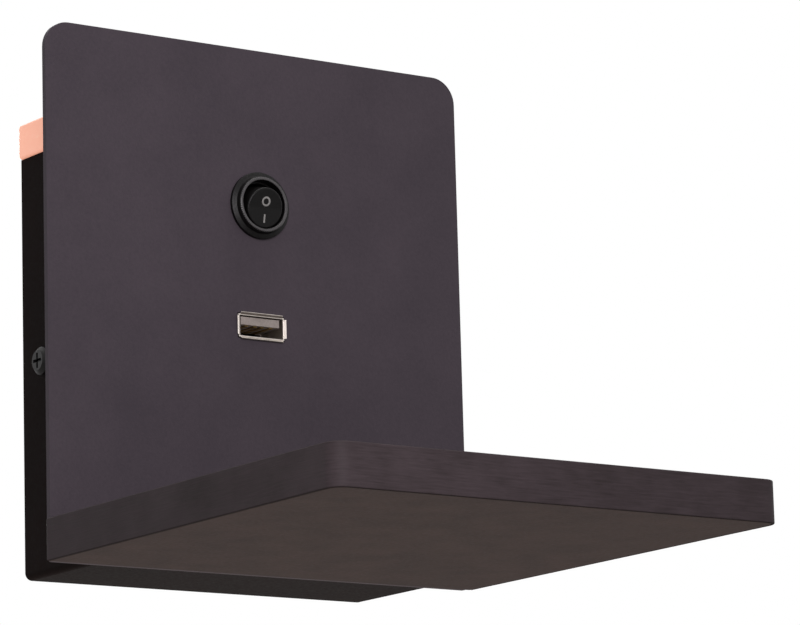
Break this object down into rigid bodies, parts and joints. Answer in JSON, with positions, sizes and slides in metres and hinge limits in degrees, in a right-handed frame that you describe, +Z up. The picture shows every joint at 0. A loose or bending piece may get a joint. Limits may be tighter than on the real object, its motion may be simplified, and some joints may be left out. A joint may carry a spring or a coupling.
{
  "type": "wall lamp with shelf",
  "caption": "Wall lamp: flat front panel on a slim sheet-metal housing, glowing opal top cover, board shelf at the foot, round rocker switch and charging socket.",
  "frame": {"origin": "on the wall plane, midway between the two wall screws of the bracket", "axes": "+X to the right seen from the room, +Y into the wall, +Z up"},
  "size_m": [0.1222, 0.15, 0.1305],
  "materials": {
    "powder_coat": "fine matt powder coat, dark warm grey",
    "housing_paint": "satin powder coat, near black",
    "shelf_laminate": "dark laminate on board",
    "edge_band": "dark grained edge band",
    "zinc_steel": "zinc plated",
    "black_steel": "black oxide",
    "opal": "opal acrylic, lit from inside",
    "aluminium": "mill finish",
    "board_white": "white solder mask",
    "board_green": "green solder mask",
    "diode": "yellow phosphor",
    "switch_black": "moulded black nylon",
    "natural_nylon": "natural moulded nylon",
    "brass": "plain stamped brass",
    "spring_steel": "bright drawn wire",
    "red_vinyl": "moulded vinyl sleeve",
    "nickel_shell": "nickel plated sheet",
    "tongue_white": "moulded white plastic",
    "gold_contact": "gold flashed spring bronze",
    "winding_tape": "yellow polyester tape",
    "can_sleeve": "shrunk vinyl sleeve",
    "chip_black": "moulded epoxy",
    "holder_grey": "moulded dark grey plastic",
    "case_white": "moulded white plastic",
    "grommet_rubber": "moulded rubber",
    "wire_brown": "extruded vinyl",
    "wire_blue": "extruded vinyl",
    "wire_green": "extruded vinyl",
    "wire_red": "extruded vinyl",
    "wire_black": "extruded vinyl"
  },
  "bodies": {
    "lamp": {"front_panel": "powder_coat", "shelf_board": "shelf_laminate", "shelf_edge_band": "edge_band", "shelf_screws": "zinc_steel", "housing": "housing_paint", "panel_studs": "zinc_steel", "panel_nuts": "zinc_steel", "wall_bracket": "zinc_steel", "cable_grommet": "grommet_rubber", "side_screws": "black_steel", "light_cover": "opal", "led_angle": "aluminium", "led_angle_screws": "zinc_steel", "led_board": "board_white", "led_board_screws": "zinc_steel", "led_chips": "diode", "switch_body": "switch_black", "switch_plug": "switch_black", "switch_common_blade": "brass", "switch_output_blade": "brass", "switch_crimps": "red_vinyl", "socket_shell": "nickel_shell", "socket_tongue": "tongue_white", "socket_contacts": "gold_contact", "socket_board": "board_green", "socket_transformer": "winding_tape", "socket_capacitors": "can_sleeve", "socket_chip": "chip_black", "socket_holder": "holder_grey", "socket_holder_screws": "zinc_steel", "socket_board_screws": "zinc_steel", "driver_tray": "case_white", "driver_lid": "case_white", "driver_board": "board_green", "driver_transformer": "winding_tape", "driver_capacitors": "can_sleeve", "driver_screws": "zinc_steel", "terminal_block": "tongue_white", "terminal_tubes": "brass", "terminal_screws": "zinc_steel", "terminal_fixing_screws": "zinc_steel", "earth_screw": "zinc_steel", "earth_washer": "zinc_steel", "earth_ring": "zinc_steel", "wires_live": "wire_brown", "wires_neutral": "wire_blue", "wire_switched": "wire_brown", "wire_led_plus": "wire_red", "wire_led_minus": "wire_black", "wire_earth": "wire_green"},
    "rocker": {"switch_rocker": "switch_black", "switch_plunger": "natural_nylon", "switch_spring": "spring_steel"},
    "contact_arm": {"switch_contact_arm": "brass"}
  },
  "joints": [
    {"name": "rocker_tilt", "type": "hinge", "parent": "lamp", "child": "rocker", "pos_m": [0, -0.02935, 0.03945], "axis": [-1, 0, 0], "range_deg": [0, 28]},
    {"name": "contact_tilt", "type": "hinge", "parent": "lamp", "child": "contact_arm", "pos_m": [0, -0.02285, 0.03945], "axis": [-1, 0, 0], "range_deg": [-14, 0]}
  ],
  "couplings": [
    {"joint": "contact_tilt", "follows": "rocker_tilt", "ratio": -0.5}
  ]
}
